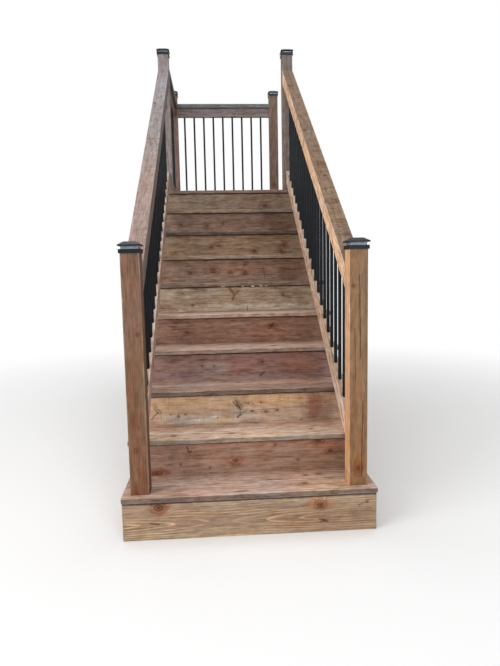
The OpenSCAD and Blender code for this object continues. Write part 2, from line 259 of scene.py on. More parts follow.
def make_grain_group():
    """Growth rings cut by the board's faces, streaks, patches, specks, knots, cracks and wear."""
    g, i, o = new_group(
        "grain",
        {
            "Local": "v", "Seed": "f", "Pith": "v", "Lean": "f", "Spacing": "f", "Half": "v", "Sharp": "f",
            "Bulge": "f", "Halo": "f", "Rim": "f", "Core": "f", "Outline": "f", "Heart": "f", "Split": "f", "End": "f",
            "Light": "f", "Tint": "c", "Wave": "f", "MillRate": "f",
            "Ground": "c", "Line": "c", "Dark": "c", "Red": "c", "Stain": "c",
            "Rings": "f", "Streaks": "f", "Reds": "f", "Weather": "f", "Specks": "f", "Cracks": "f", "Mill": "f",
            "Edges": "f",
        },
        {"Colour": "c", "Roughness": "f", "Height": "f"},
    )
    local = i["Local"]
    p = g.vec("ADD", local, g.pack("XYZ", [g.math("MULTIPLY", i["Seed"], k) for k in (1.73, 0.91, 2.37)]))

    def drawn_out(along, across, detail=2.0, roughness=0.5):
        """Noise that is drawn out along the board."""
        return g.noise(g.stretch(p, along, across, across), 1.0, detail, roughness)

    wander, wiggle = g.jitter(g.stretch(p, 1.3, 6, 6)), g.jitter(g.stretch(p, 9, 30, 30))
    sway = g.vec("ADD", g.stretch(wander, 0, 0.05, 0.05), g.stretch(wiggle, 0, 0.008, 0.008))
    bent = g.vec("ADD", local, g.scaled(sway, i["Wave"]))
    # The pith leans away from its middle, so that the rings show as arches that point to it
    away = g.unpack("XYZ", g.vec("SUBTRACT", bent, i["Pith"]))
    from_middle = g.math("SQRT", g.math("ADD", g.math("POWER", away[0], 2.0), 0.001))
    dz = g.math("ADD", away[2], g.math("MULTIPLY", from_middle, i["Lean"]))
    radius = g.math("SQRT", g.math("ADD", g.math("POWER", away[1], 2.0), g.math("POWER", dz, 2.0)))
    radius = g.math("ADD", radius, i["Bulge"])
    uneven = g.math("MULTIPLY", g.math("MULTIPLY", drawn_out(0.8, 14), 2.5), i["Wave"])
    saw = g.math("FRACT", g.math("ADD", g.math("DIVIDE", radius, i["Spacing"]), uneven))
    late = g.math("MULTIPLY", g.math("POWER", saw, i["Sharp"]), g.fit(saw, 0.93, 1.0, 1.0, 0.0))
    faint = g.fit(drawn_out(2.2, 18), 0.32, 0.62)
    late_seen = g.math("MULTIPLY", late, g.math("MULTIPLY", i["Rings"], faint), clamp=True)
    fibre = drawn_out(9, 420)
    fine = drawn_out(8, 110, 3.0, 0.65)
    streak = drawn_out(2.4, 48, 3.0, 0.6)
    broad = drawn_out(2.2, 7, 4.0, 0.6)
    blotch = drawn_out(3.2, 9, 3.0, 0.55)
    band = drawn_out(0.9, 26, 2.0, 0.6)
    mottle = drawn_out(17, 48, 3.0, 0.7)
    # Ring lines, dark bands, red patches, weather stains and fine dark lines, one over the other
    colour = g.mix(late_seen, i["Ground"], i["Line"])
    dark = g.math("MULTIPLY", g.fit(band, 0.48, 0.74), g.math("MULTIPLY", i["Streaks"], 0.4))
    colour = g.mix(dark, colour, i["Dark"])
    colour = g.mix(g.math("MULTIPLY", g.fit(blotch, 0.52, 0.72), i["Reds"], clamp=True), colour, i["Red"])
    colour = g.mix(g.math("MULTIPLY", g.fit(broad, 0.48, 0.68), i["Weather"], clamp=True), colour, i["Stain"])
    line = g.math("MULTIPLY", g.fit(fine, 0.58, 0.70), g.math("MULTIPLY", i["Streaks"], 0.8))
    colour = g.mix(line, colour, i["Dark"])
    tone = g.fit(fibre, 0.25, 0.75, -0.2, 0.2, "LINEAR")
    for part, k in ((streak, 0.27), (fine, 0.75), (mottle, 0.6)):
        tone = g.math("ADD", tone, g.fit(part, 0.25, 0.75, -k, k, "LINEAR"))
    tone = g.math("MAXIMUM", g.math("ADD", g.math("MULTIPLY", tone, i["Streaks"]), 1.0), 0.05)
    grey = g.pack("Color", [g.math("POWER", tone, warmth) for warmth in (0.85, 1.05, 1.25)])  # darker wood is warmer
    # Small dark specks lie in clusters
    cells = g.node("ShaderNodeTexVoronoi", voronoi_dimensions="2D")
    g.put(cells.inputs["Vector"], g.stretch(p, 22, 42, 42))
    g.put(cells.inputs["Scale"], 1.0)
    picked = g.fit(g.unpack("Color", cells.outputs["Color"])[0], 0.55, 0.6)
    speck = g.math("MULTIPLY", g.fit(cells.outputs["Distance"], 0.10, 0.20, 1.0, 0.0), picked)
    speck = g.math("MULTIPLY", g.math("MULTIPLY", speck, g.fit(blotch, 0.45, 0.35)), i["Specks"], clamp=True)
    colour = g.mix(g.math("MULTIPLY", speck, 0.75), colour, CRACK)
    # Knots, from the halo in to the heart
    colour = g.mix(g.math("MULTIPLY", i["Halo"], 0.8), colour, g.mix(0.55, i["Red"], i["Dark"]))
    colour = g.mix(g.math("MULTIPLY", i["Rim"], 0.5), colour, g.mix(0.6, i["Ground"], i["Stain"]))
    ring_in_knot = g.fit(late, 0.1, 0.8, 0.55, 1.0)
    colour = g.mix(g.math("MULTIPLY", i["Core"], ring_in_knot), colour, g.mix(0.4, KNOT_CORE, i["Dark"]))
    colour = g.mix(g.math("MULTIPLY", i["Outline"], 0.7), colour, KNOT_HEART)
    colour = g.mix(g.math("MULTIPLY", i["Heart"], 0.9), colour, KNOT_HEART)
    # Eased edges wear paler
    gap = g.unpack("XYZ", g.vec("SUBTRACT", i["Half"], g.vec("ABSOLUTE", local)))
    near = g.math("MULTIPLY", *(g.fit(gap[k], 0.002, 0.009, 1.0, 0.0) for k in (1, 2)))
    patchy = g.fit(drawn_out(9, 40), 0.35, 0.65)
    edge = g.math("MULTIPLY", g.math("MULTIPLY", near, patchy), i["Edges"], clamp=True)
    colour = g.mix(g.math("MULTIPLY", edge, 0.6), colour, g.mix(0.4, i["Stain"], (0.75, 0.7, 0.62, 1.0)))
    # Drying cracks follow the fibre
    where = g.fit(drawn_out(1.3, 9, 1.0), 0.48, 0.6)
    check = g.fit(drawn_out(2.6, 120, 1.0), 0.68, 0.74)
    crack = g.math("MULTIPLY", g.math("MULTIPLY", check, where), i["Cracks"], clamp=True)
    crack = g.math("MAXIMUM", crack, i["Split"])
    colour = g.mix(g.math("MULTIPLY", crack, 0.85), colour, CRACK)
    # Saw and planer marks across the grain
    mill = g.noise(g.vec("MULTIPLY", p, g.pack("XYZ", (i["MillRate"], 12.0, 12.0))), 1.0, 3.0, 0.65)
    colour = g.mix(g.math("MULTIPLY", g.fit(mill, 0.5, 0.68), i["Mill"], clamp=True), colour, i["Dark"])
    # End grain is darker
    colour = g.mix(g.math("MULTIPLY", i["End"], 0.45), colour, i["Dark"])
    # Tint brings the patches, some of them painted light and shade, and Light brings the painted light and shade of
    # faces turned one way
    for factor in (i["Tint"], grey, g.pack("Color", [i["Light"]] * 3)):
        colour = g.mix(1.0, colour, factor, "MULTIPLY")
    g.put(o["Colour"], colour)
    g.put(o["Roughness"], g.fit(g.math("ADD", streak, late), 0.3, 1.5, 0.86, 0.7, "LINEAR"))
    height = g.math("MULTIPLY", fibre, 0.3)
    for term in (
        g.math("MULTIPLY", late_seen, 0.4),
        g.math("MULTIPLY", g.math("ADD", streak, fine), 0.35),
        g.math("MULTIPLY", g.math("MULTIPLY", mill, i["Mill"]), 0.9),
        g.math("MULTIPLY", i["Core"], 0.4),
        g.math("MULTIPLY", crack, -2.2),
    ):
        height = g.math("ADD", height, term)
    g.put(o["Height"], height)
    return g.tree


KNOT = make_knot_group()
SPLIT = make_split_group()
PATCH = make_patch_group()
GRAIN = make_grain_group()

# The grain of a board where its own looks say nothing else: lean of the pith, spacing in metres, waviness and
# sharpness of the rings, how strongly each kind of mark shows, and how many mill marks lie in a metre
PLAIN_GRAIN = dict(
    lean=0.04, spacing=0.0065, wave=1.0, sharp=2.0, rings=0.55, streaks=0.6, reds=0.3, weather=0.45, specks=0.4,
    cracks=0.7, mill=0.0, mill_rate=70.0, edges=0.3,
)


def wood(name, centre, along, across, half, tone, seed, bright=1.0, knots=(), splits=(), patches=(), sides=(),
         pith=None, pale_lines=False, **looks):
    """A board's material. Knots, splits and patches are in the board's own plane, (along, across) from its centre.
    A knot is (along, across, half length, half width) and may add its swell and its halo, a split is (from, to,
    width, force), and a patch is (along, across, half length, half width, colour factor). The (direction, factor)
    pairs of painted light and shade lighten or darken the faces turned that way. Looks take the place of values in
    PLAIN_GRAIN."""
    mat, g = new_material(name)
    rng = random.Random(seed)
    along, across = Vector(along).normalized(), Vector(across).normalized()
    coord = g.node("ShaderNodeTexCoord")
    normal = coord.outputs["Normal"]
    rel = g.vec("SUBTRACT", coord.outputs["Object"], tuple(centre))
    local = g.pack("XYZ", [g.vec("DOT_PRODUCT", rel, tuple(axis)) for axis in (along, across, along.cross(across))])
    end = g.fit(g.math("ABSOLUTE", g.vec("DOT_PRODUCT", normal, tuple(along))), 0.6, 0.9)
    # Painted light and shade: the colour of faces turned to each given direction is multiplied by its factor
    light = 1.0
    for direction, factor in sides:
        turned = g.vec("DOT_PRODUCT", normal, tuple(Vector(direction).normalized()))
        light = g.math("MULTIPLY", g.fit(turned, 0.5, 0.95, 1.0, factor), light)
    found = dict.fromkeys(("Bulge", "Halo", "Rim", "Core", "Outline", "Heart", "Split"), 0.0)

    def join(op, key, new):
        found[key] = g.math(op, new, found[key])

    for a, c, ra, rc, *more in knots:
        swell, halo = more or (1.0, 0.7)
        n = g.group(KNOT, Point=local, Centre=(a, c, 0), Scale=(1 / ra, 1 / rc, 0.0))
        join("ADD", "Bulge", g.math("MULTIPLY", n.outputs["Bulge"], 2.2 * rc * swell))
        join("MAXIMUM", "Halo", g.math("MULTIPLY", n.outputs["Halo"], halo))
        for key in ("Rim", "Core", "Outline", "Heart"):
            join("MAXIMUM", key, n.outputs[key])
    for a0, c0, a1, c1, width, force in splits:
        n = g.group(SPLIT, Point=local, A=(a0, c0, 0), B=(a1, c1, 0), Width=width, Force=force)
        join("MAXIMUM", "Split", n.outputs[0])
    tint = (1, 1, 1, 1)
    for a, c, ra, rc, factor in patches:
        n = g.group(PATCH, Point=local, Centre=(a, c, 0), Scale=(1 / ra, 1 / rc, 0), Under=tint, Tint=(*factor, 1))
        tint = n.outputs[0]
    if pith is None:
        pith = (rng.uniform(-0.9, 0.9), rng.uniform(-0.05, 0.05), rng.choice((-1, 1)) * rng.uniform(0.05, 0.1))
    ground, line, dark, red, stain = tone_set(tone, bright, pale_lines)
    looks = {key.title().replace("_", ""): value for key, value in {**PLAIN_GRAIN, **looks}.items()}
    grain = g.group(
        GRAIN, Local=local, Seed=rng.uniform(1, 60), Pith=pith, Half=tuple(half), End=end, Light=light, Tint=tint,
        Ground=ground, Line=line, Dark=dark, Red=red, Stain=stain, **found, **looks,
    )
    shader = g.node("ShaderNodeBsdfPrincipled")
    g.put(shader.inputs["Base Color"], grain.outputs["Colour"])
    g.put(shader.inputs["Roughness"], grain.outputs["Roughness"])
    g.put(shader.inputs["Normal"], g.bump(grain.outputs["Height"], 0.6, 0.0009))
    shader.inputs["Specular IOR Level"].default_value = 0.25
    g.put(g.node("ShaderNodeOutputMaterial").inputs[0], shader.outputs[0])
    return mat


def random_knots(seed, length, width, count, small=0.006, large=0.014):
    """Plain knots strewn over a board of this length and width."""
    rng = random.Random(seed)
    out = []
    for _ in range(count):
        r = rng.uniform(small, large)
        out.append((rng.uniform(-0.46, 0.46) * length, rng.uniform(-0.38, 0.38) * width, r * 1.35, r))
    return out


# ---------------------------------------------------------------- mesh tools
def link(name, data):
    """A new object in the scene, from a mesh, a lamp or a camera."""
    obj = bpy.data.objects.new(name, data)
    bpy.context.scene.collection.objects.link(obj)
    return obj


def to_mesh(bm, name):
    mesh = bpy.data.meshes.new(name)
    bm.to_mesh(mesh)
    bm.free()
    return mesh


def profile(half_w, half_h, ease, steps=4):
    """Points round a rectangle with eased corners."""
    out = []
    for sx, sy, turn in ((1, 1, 0), (-1, 1, 90), (-1, -1, 180), (1, -1, 270)):
        for k in range(steps + 1):
            a = math.radians(turn + 90 * k / steps)
            out.append((sx * (half_w - ease) + ease * math.cos(a), sy * (half_h - ease) + ease * math.sin(a)))
    return out


def add_plank(bm, lo, hi, slot, seed, ease=EASE, stations=20, bow=0.0008, dips=()):
    """A board along X with eased long edges, a slight bow, softened ends and dips (from, to, depth) in its top. Slot
    is the number of its material."""
    rng = random.Random(seed)
    centre, half = (lo + hi) / 2, (hi - lo) / 2
    ease = min(ease, half.y * 0.9, half.z * 0.9)
    amp_y, amp_z = rng.uniform(-bow, bow), rng.uniform(-bow, bow)
    spots = [(-half.x, SOFT_END), (-half.x + SOFT_END, 0)]
    spots += [(-half.x + 2 * half.x * k / stations, 0) for k in range(1, stations)]
    spots += [(half.x - SOFT_END, 0), (half.x, SOFT_END)]
    for x0, x1, _ in dips:
        spots += [(x0, 0), (x0 + DIP_RAMP, 0), (x1 - DIP_RAMP, 0), (x1, 0)]
    loops = []
    for x, inset in sorted(spots):
        t = x / half.x
        dy, dz = amp_y * (1 - t * t), amp_z * (1 - t * t)
        low = sum(depth for x0, x1, depth in dips if x0 < x < x1)
        ring = profile(half.y - inset, half.z - inset, ease - inset)
        loops.append([bm.verts.new(centre + Vector((x, y + dy, z + dz - (low if z > 0 else 0)))) for y, z in ring])
    faces = []
    for a, b in zip(loops, loops[1:]):
        n = len(a)
        faces += [bm.faces.new((a[k], a[(k + 1) % n], b[(k + 1) % n], b[k])) for k in range(n)]
    faces.append(bm.faces.new(list(reversed(loops[0]))))
    faces.append(bm.faces.new(loops[-1]))
    for f in faces:
        f.material_index = slot


def cut_posts(obj, posts):
    """Cuts square holes for posts, given as (low corner, high corner) of each post."""
    cutters = []
    for lo, hi in posts:
        bm = bmesh.new()
        bmesh.ops.create_cube(bm, size=1.0)
        grow = Vector((NOTCH_GAP, NOTCH_GAP, 0)) * 2
        bmesh.ops.transform(bm, matrix=Matrix.Diagonal((*(hi - lo + grow), 1)), verts=bm.verts)
        bmesh.ops.translate(bm, vec=(lo + hi) / 2, verts=bm.verts)
        cutter = link("cutter", to_mesh(bm, "cutter"))
        cutters.append(cutter)
        mod = obj.modifiers.new("cut", "BOOLEAN")
        mod.operation, mod.object, mod.solver = "DIFFERENCE", cutter, "EXACT"
    bpy.context.view_layer.update()
    done = bpy.data.meshes.new_from_object(obj.evaluated_get(bpy.context.evaluated_depsgraph_get()))
    obj.modifiers.clear()
    old, obj.data = obj.data, done
    bpy.data.meshes.remove(old)
    for cutter in cutters:
        mesh = cutter.data
        bpy.data.objects.remove(cutter)
        bpy.data.meshes.remove(mesh)


def finish_piece(bm, name, mats, node):
    """The object that takes a node's place, with its materials and slot."""
    bmesh.ops.recalc_face_normals(bm, faces=bm.faces)
    mesh = to_mesh(bm, name)
    for mat in mats:
        mesh.materials.append(mat)
    obj = link(name, mesh)
    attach(obj, "root")
    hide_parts(node)
    return obj


def sharpen(obj, angle=40):
    """Smooth shading, with edges kept sharp where faces meet at more than this angle in degrees."""
    for p in obj.data.polygons:
        p.use_smooth = True
    obj.data.set_sharp_from_angle(angle=math.radians(angle))


# ---------------------------------------------------------------- treads
# Seeds here and below are arbitrary numbers that make the boards differ
# Per tread: (tone, brightness) of the front and the back board, and the factor of painted shade that darkens the front
# edge
TREAD_LOOK = {
    1: (("pinkish", 0.92), ("pinkish", 0.85), 0.31),
    2: (("tan", 1.32), ("pinkish", 0.93), 0.41),
    3: (("pinkish", 0.68), ("pinkish", 0.80), 0.40),
    4: (("pinkish", 0.94), ("pinkish", 0.80), 0.50),
    5: (("pinkish", 0.90), ("tan", 0.68), 0.70),
    6: (("dark", 1.05), ("dark", 1.1), 0.88),
    7: (("tan", 0.54), ("tan", 0.54), 1.0),
    8: (("dark", 0.48), ("dark", 0.60), 1.0),
    9: (("olive", 0.7), ("olive", 0.7), 1.0),
}
# Patches of another tone on single tread boards, by (tread, row); several darken a board's ends and lighten its middle
TREAD_PATCHES = {
    (1, 0): [(-0.38, 0, 0.10, 0.2, (0.80, 0.78, 0.78)), (0.36, 0, 0.14, 0.2, (1.04, 1.08, 1.0))],
    (1, 1): [(0.42, 0, 0.10, 0.2, (0.84, 0.84, 0.80)), (-0.1, 0, 0.3, 0.2, (0.96, 1.02, 1.08))],
    (2, 0): [(-0.15, 0, 0.45, 0.3, (1.02, 1.13, 1.27)), (0.30, 0, 0.18, 0.2, (0.88, 0.95, 1.05))],
    (2, 1): [(-0.42, 0, 0.08, 0.2, (0.90, 0.88, 0.84)), (0.42, 0, 0.10, 0.2, (0.86, 0.82, 0.76)),
             (0, 0, 0.3, 0.2, (1.02, 1.08, 1.10))],
    (3, 0): [(0.28, 0, 0.3, 0.2, (0.84, 0.82, 0.84))],
    (3, 1): [(-0.1, 0, 0.35, 0.2, (1.02, 1.08, 1.14)), (0.42, 0, 0.10, 0.2, (0.84, 0.76, 0.70))],
    (4, 1): [(-0.1, 0, 0.35, 0.2, (1.03, 1.12, 1.16)), (0.40, 0, 0.12, 0.2, (0.90, 0.78, 0.68))],
    (5, 0): [(-0.1, 0, 0.5, 0.3, (1.08, 1.14, 1.16))],
    (5, 1): [(0.2, 0, 0.3, 0.3, (0.94, 0.92, 0.88))],
}
WORN_TREADS = 5  # the edges of this many lower treads are worn paler
for k, (lo, hi) in TREAD_BOX.items():
    bm = bmesh.new()
    mats = []
    for row in range(2):
        tone, bright = TREAD_LOOK[k][row]
        rng = random.Random(100 * k + row)
        y0 = lo.y + row * (BOARD_W + BOARD_GAP)
        a = Vector((lo.x + rng.uniform(0, END_PLAY), y0, lo.z))
        b = Vector((hi.x - rng.uniform(0, END_PLAY), y0 + BOARD_W, hi.z))
        add_plank(bm, a, b, row, 10 * k + row)
        mats.append(wood(
            f"tread_{k}_{row + 1}", (a + b) / 2, X, Y, (b - a) / 2, tone, 31 * k + 7 * row, bright,
            knots=random_knots(5 * k + row, HALF_TREAD * 2, BOARD_W, rng.randint(1, 3)),
            patches=TREAD_PATCHES.get((k, row), ()), sides=((-Y, TREAD_LOOK[k][2]),),
            rings=0.4, streaks=0.75, weather=0.6, edges=0.8 if k <= WORN_TREADS else 0.4,
        ))
    obj = finish_piece(bm, f"tread_boards_{k}", mats, f"tread_{k}")
    if k == 1:
        cut_posts(obj, list(NEWEL_BOX.values()))
    sharpen(obj)

# ---------------------------------------------------------------- risers
# The looks of each board, with its marks in metres from its middle. The long pale bands low on risers 1, 4 and 6
# to 9 are painted light, and the long dark bands high on risers 4, 5, 7 and 9 are partly dirt and partly painted
# shade under the nosings. Dips in the top edge let light through under two of the nosings.
RISER_LOOK = {
    1: dict(
        tone="tan", bright=0.56, rings=2.0, pale_lines=True, sharp=6.0, spacing=0.011, lean=0.07, wave=0.45,
        pith=(-0.152, -0.022, 0.05), weather=0.3, reds=0.15, streaks=0.45, cracks=0.3,
        knots=[
            (-0.439, 0.062, 0.02, 0.015, 1.6, 1.0), (0.335, 0.038, 0.014, 0.012, 2.4, 1.0),
            (0.564, 0.042, 0.005, 0.004), (0.35, -0.04, 0.008, 0.004, 1.0, 0.8),
        ],
        splits=[
            (-0.48, -0.014, -0.44, -0.02, 0.006, 0.8), (-0.605, -0.04, -0.47, -0.034, 0.0025, 0.8),
            (0.52, 0.03, 0.56, 0.044, 0.005, 0.6), (0.33, -0.03, 0.37, -0.046, 0.006, 0.6),
        ],
        patches=[
            (0.0, 0.078, 0.7, 0.022, (1.12, 1.2, 1.24)), (-0.439, 0.055, 0.06, 0.03, (1.0, 0.78, 0.68)),
            (0.33, 0.045, 0.08, 0.036, (1.0, 0.76, 0.66)), (0.3, -0.03, 0.18, 0.03, (0.8, 0.72, 0.68)),
            (-0.56, 0.03, 0.06, 0.06, (1.12, 1.12, 1.1)), (-0.25, -0.075, 0.42, 0.03, (1.22, 1.32, 1.34)),
            (0.53, -0.02, 0.08, 0.05, (0.86, 0.84, 0.84)), (0.4, 0.055, 0.2, 0.04, (1.05, 1.1, 1.1)),
        ],
    ),
    2: dict(
        tone="reddish", bright=0.92, rings=0.4, reds=0.5, specks=0.7, weather=0.3,
        knots=[
            (-0.061, -0.007, 0.015, 0.011, 1.0, 0.8), (-0.469, -0.06, 0.026, 0.01, 0.5, 1.0),
            (0.439, 0.026, 0.011, 0.009), (0.374, 0.079, 0.014, 0.01, 1.0, 1.0), (0.147, 0.067, 0.008, 0.007),
            (-0.347, -0.016, 0.006, 0.005), (-0.195, -0.04, 0.006, 0.005), (0.267, -0.019, 0.006, 0.005),
        ],
        splits=[(-0.31, 0.075, -0.3, 0.045, 0.006, 0.9), (-0.3, 0.047, -0.288, 0.056, 0.005, 0.8)],
        patches=[
            (0.0, 0.0, 2.0, 2.0, (0.92, 1.0, 1.02)), (0.1, 0.075, 0.42, 0.022, (1.04, 0.9, 0.85)),
            (-0.46, -0.055, 0.07, 0.035, (0.95, 0.74, 0.66)), (-0.061, -0.005, 0.05, 0.03, (1.1, 0.9, 0.82)),
            (0.41, 0.06, 0.09, 0.03, (1.0, 0.82, 0.76)), (0.36, 0.0, 0.17, 0.12, (0.86, 0.8, 0.72)),
            (-0.18, -0.03, 0.1, 0.06, (1.12, 1.2, 1.2)), (-0.4, 0.03, 0.13, 0.06, (0.9, 0.9, 0.94)),
        ],
    ),
    3: dict(
        tone="tan", bright=1.02, rings=0.2, reds=0.0, weather=0.5, specks=1.0, mill=0.35, mill_rate=170.0,
        streaks=0.4, cracks=0.3,
        knots=[
            (0.027, 0.039, 0.006, 0.005), (-0.368, -0.024, 0.008, 0.007, 1.0, 0.4), (0.047, -0.008, 0.01, 0.006),
            (-0.411, -0.012, 0.005, 0.004, 1.0, 0.3), (-0.328, -0.016, 0.006, 0.004, 1.0, 0.3),
            (0.1, 0.04, 0.006, 0.005, 1.0, 0.4), (0.125, -0.014, 0.01, 0.006, 1.0, 0.8),
            (0.19, -0.008, 0.009, 0.006, 1.0, 0.5), (-0.148, -0.039, 0.005, 0.004, 1.0, 0.3),
        ],
        splits=[
            (-0.042, 0.052, -0.018, 0.014, 0.026, 0.4), (-0.058, 0.048, -0.028, 0.01, 0.007, 0.8),
            (-0.044, 0.056, -0.018, 0.004, 0.008, 0.95), (-0.032, 0.06, -0.014, 0.024, 0.006, 0.7),
            (0.022, 0.004, -0.03, -0.036, 0.012, 0.3), (0.014, -0.002, -0.02, -0.034, 0.003, 0.6),
            (-0.018, -0.024, -0.036, -0.04, 0.011, 0.85), (-0.02, 0.002, -0.022, -0.024, 0.007, 0.5),
            (-0.496, 0.03, -0.472, 0.002, 0.02, 0.3), (-0.478, 0.004, -0.518, -0.036, 0.004, 0.9),
            (-0.504, 0.03, -0.48, 0.0, 0.005, 0.75), (-0.49, 0.034, -0.466, 0.006, 0.005, 0.7),
            (0.06, -0.004, 0.33, 0.006, 0.0025, 0.6),
        ],
        patches=[
            (0.0, -0.03, 0.6, 0.06, (0.93, 1.02, 1.12)), (-0.1, 0.055, 0.7, 0.045, (1.02, 1.02, 0.92)),
            (-0.35, -0.045, 0.2, 0.035, (0.98, 1.12, 1.35)), (0.08, -0.05, 0.2, 0.035, (1.06, 1.04, 1.1)),
            (0.4, 0.01, 0.05, 0.09, (0.82, 0.62, 0.6)), (0.43, 0.0, 0.13, 0.12, (0.7, 0.65, 0.66)),
            (-0.17, -0.065, 0.14, 0.03, (1.44, 1.52, 1.44)), (0.1, 0.045, 0.05, 0.018, (1.05, 0.88, 0.84)),
            (-0.022, 0.01, 0.07, 0.07, (0.94, 0.96, 1.0)), (0.004, 0.048, 0.03, 0.04, (0.84, 0.8, 0.76)),
            (0.02, -0.02, 0.11, 0.05, (1.08, 1.16, 1.22)), (-0.2, -0.08, 0.6, 0.02, (0.88, 0.88, 0.9)),
        ],
    ),
    4: dict(
        tone="purplish", bright=0.86, rings=0.25, reds=0.4, specks=0.3, weather=0.3,
        knots=[
            (-0.232, 0.02, 0.01, 0.008, 0.8, 0.5), (-0.16, 0.017, 0.005, 0.004, 0.5, 0.3),
            (0.13, 0.034, 0.011, 0.008),
        ],
        splits=[(0.118, -0.048, 0.142, -0.03, 0.01, 0.9)],
        patches=[
            (0.0, 0.075, 0.6, 0.04, (0.8, 0.74, 0.7)), (0.36, 0.02, 0.15, 0.09, (0.98, 0.82, 0.74)),
            (0.02, 0.03, 0.12, 0.05, (1.06, 0.92, 0.9)), (-0.18, -0.01, 0.11, 0.08, (1.02, 1.2, 1.26)),
            (0.0, -0.07, 0.6, 0.026, (1.22, 1.26, 1.18)), (-0.38, -0.04, 0.16, 0.05, (0.94, 0.98, 1.06)),
            (0.12, -0.05, 0.3, 0.03, (0.94, 0.96, 1.0)),
        ],
    ),
    5: dict(
        tone="reddish", bright=0.66, rings=0.35, reds=0.5, weather=0.3,
        knots=[
            (-0.33, 0.005, 0.012, 0.01, 1.0, 0.8), (0.215, 0.035, 0.02, 0.008, 1.0, 1.0), (0.41, -0.03, 0.008, 0.006),
        ],
        splits=[(0.235, 0.055, 0.205, 0.015, 0.006, 0.9)],
        patches=[
            (0.2, 0.0, 0.18, 0.08, (1.1, 1.0, 0.94)), (-0.3, 0.0, 0.2, 0.08, (1.0, 0.98, 0.98)),
            (0.33, -0.05, 0.18, 0.035, (1.14, 1.24, 1.26)), (0.0, 0.078, 0.6, 0.022, (0.86, 0.84, 0.8)),
        ],
        dips=[(0.172, 0.204, 0.0032), (0.25, 0.272, 0.0018)],
    ),
    6: dict(
        tone="olive", bright=0.98, rings=0.35, weather=0.8, reds=0.15, specks=0.7,
        knots=[(0.33, 0.03, 0.008, 0.006), (-0.3, -0.03, 0.007, 0.006)],
        splits=[
            (-0.046, 0.085, -0.009, 0.039, 0.014, 0.6), (0.02, 0.063, -0.009, 0.039, 0.01, 0.6),
            (-0.009, 0.039, -0.024, 0.002, 0.011, 0.65), (-0.042, 0.082, -0.012, 0.042, 0.004, 1.0),
            (-0.01, 0.036, -0.022, 0.006, 0.004, 1.0), (0.078, -0.04, 0.078, -0.075, 0.005, 0.8),
        ],
        patches=[
            (0.04, -0.06, 0.6, 0.038, (1.4, 1.54, 1.72)), (0.22, -0.035, 0.18, 0.06, (1.2, 1.26, 1.34)),
            (-0.38, 0.06, 0.1, 0.04, (1.28, 1.42, 1.48)), (0.15, -0.02, 0.22, 0.05, (1.1, 1.12, 1.14)),
            (-0.02, 0.04, 0.06, 0.05, (0.9, 0.8, 0.72)), (0.38, 0.04, 0.12, 0.05, (0.92, 0.86, 0.8)),
        ],
        dips=[
            (-0.102, -0.072, 0.0022), (0.04, 0.058, 0.0026), (0.108, 0.132, 0.0042), (0.164, 0.19, 0.003),
            (0.206, 0.226, 0.0026), (0.282, 0.302, 0.0022),
        ],
    ),
    7: dict(
        tone="reddish", bright=0.74, rings=0.35, reds=0.4, specks=0.5, weather=0.3,
        knots=[
            (-0.322, 0.0, 0.016, 0.012), (-0.153, 0.012, 0.024, 0.015, 1.0, 0.9),
            (-0.029, 0.0, 0.019, 0.014, 1.0, 0.9), (0.083, 0.057, 0.012, 0.01), (0.082, 0.0, 0.015, 0.012, 1.0, 0.9),
        ],
        splits=[(0.222, 0.035, 0.228, -0.05, 0.005, 0.6)],
        patches=[
            (0.0, 0.0, 2.0, 2.0, (0.96, 1.06, 1.05)), (-0.12, -0.045, 0.5, 0.06, (1.16, 1.3, 1.38)),
            (0.05, 0.07, 0.6, 0.03, (0.88, 0.86, 0.86)), (0.02, 0.02, 0.22, 0.04, (1.06, 0.94, 0.9)),
            (0.42, 0.02, 0.11, 0.12, (0.78, 0.7, 0.64)),
        ],
    ),
    8: dict(
        tone="tan", bright=0.52, rings=0.35, reds=0.15, specks=0.3, weather=0.3,
        knots=[
            (-0.164, 0.005, 0.016, 0.011, 1.0, 0.9), (-0.102, 0.012, 0.015, 0.01, 1.0, 0.9),
            (0.171, -0.03, 0.016, 0.012), (0.384, -0.035, 0.014, 0.011, 1.0, 0.9),
            (0.408, 0.01, 0.015, 0.012, 1.0, 0.9),
        ],
        patches=[
            (-0.05, -0.055, 0.6, 0.036, (1.22, 1.26, 1.26)), (0.12, -0.06, 0.22, 0.03, (1.14, 1.16, 1.18)),
            (0.05, 0.03, 0.18, 0.05, (1.06, 1.06, 1.02)), (0.3, 0.065, 0.22, 0.03, (0.8, 0.74, 0.66)),
            (0.39, -0.01, 0.08, 0.06, (0.92, 0.82, 0.74)),
        ],
    ),
    9: dict(
        tone="dark", bright=1.08, rings=0.3, reds=0.6, specks=0.4, weather=0.25,
        knots=[
            (-0.405, 0.005, 0.014, 0.011), (-0.193, -0.006, 0.018, 0.013, 1.0, 0.9),
            (-0.062, 0.008, 0.018, 0.013, 1.0, 0.9),
        ],
        patches=[
            (0.4, 0.0, 0.15, 0.12, (0.7, 0.62, 0.55)), (0.22, 0.02, 0.12, 0.06, (0.98, 0.9, 0.86)),
            (-0.12, -0.045, 0.46, 0.05, (1.18, 1.26, 1.28)), (-0.1, 0.07, 0.6, 0.03, (0.88, 0.86, 0.86)),
        ],
    ),
    10: dict(
        tone="olive", bright=0.76, rings=0.25, reds=0.25, specks=0.3, weather=0.4,
        knots=[(0.313, -0.015, 0.02, 0.016, 1.0, 0.7), (0.234, -0.047, 0.009, 0.007)],
        patches=[(-0.36, 0.03, 0.17, 0.09, (1.14, 1.16, 1.26)), (0.15, 0.0, 0.28, 0.06, (0.98, 0.92, 0.94))],
    ),
}
